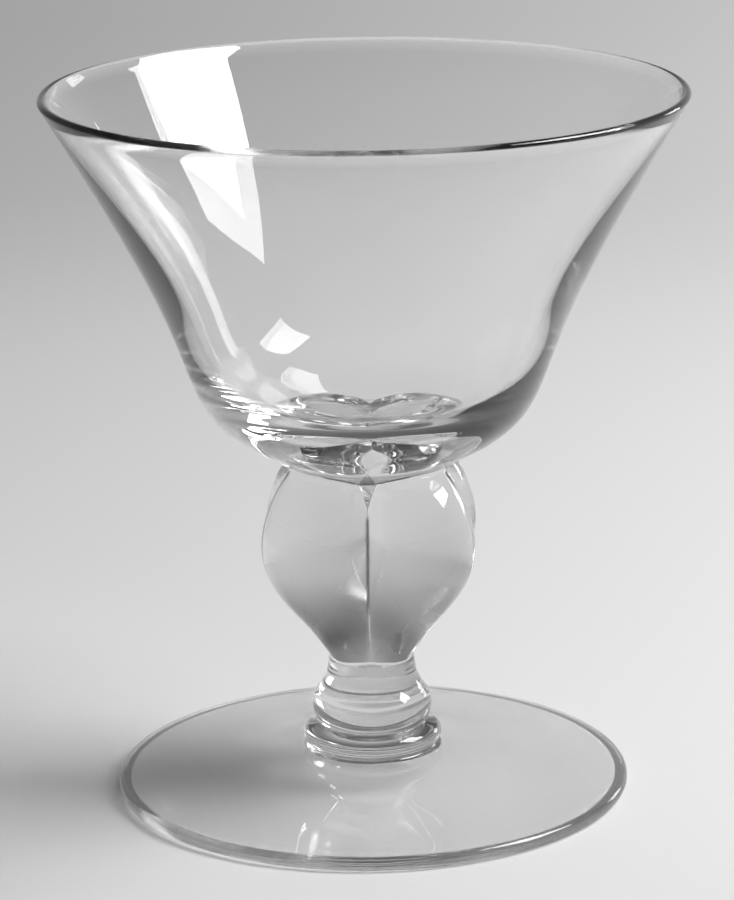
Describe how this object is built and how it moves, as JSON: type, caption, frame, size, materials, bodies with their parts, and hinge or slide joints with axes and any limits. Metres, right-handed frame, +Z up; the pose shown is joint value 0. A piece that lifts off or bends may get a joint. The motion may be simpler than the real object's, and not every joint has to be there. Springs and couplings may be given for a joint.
{
  "type": "cocktail glass",
  "caption": "Clear stemmed cocktail glass with a wide flared bowl, a lobed knop stem and a low conical foot.",
  "frame": {"origin": "centre of the foot, level with its flat resting ring", "axes": "+Z up along the glass's axis, towards the rim; the creases between the knop's lobes face along X and Y"},
  "size_m": [0.0934, 0.0934, 0.1048],
  "materials": {
    "clear_glass": "clear, fire-polished and colourless"
  },
  "bodies": {
    "root": {"cocktail_glass": "clear_glass"}
  },
  "joints": []
}
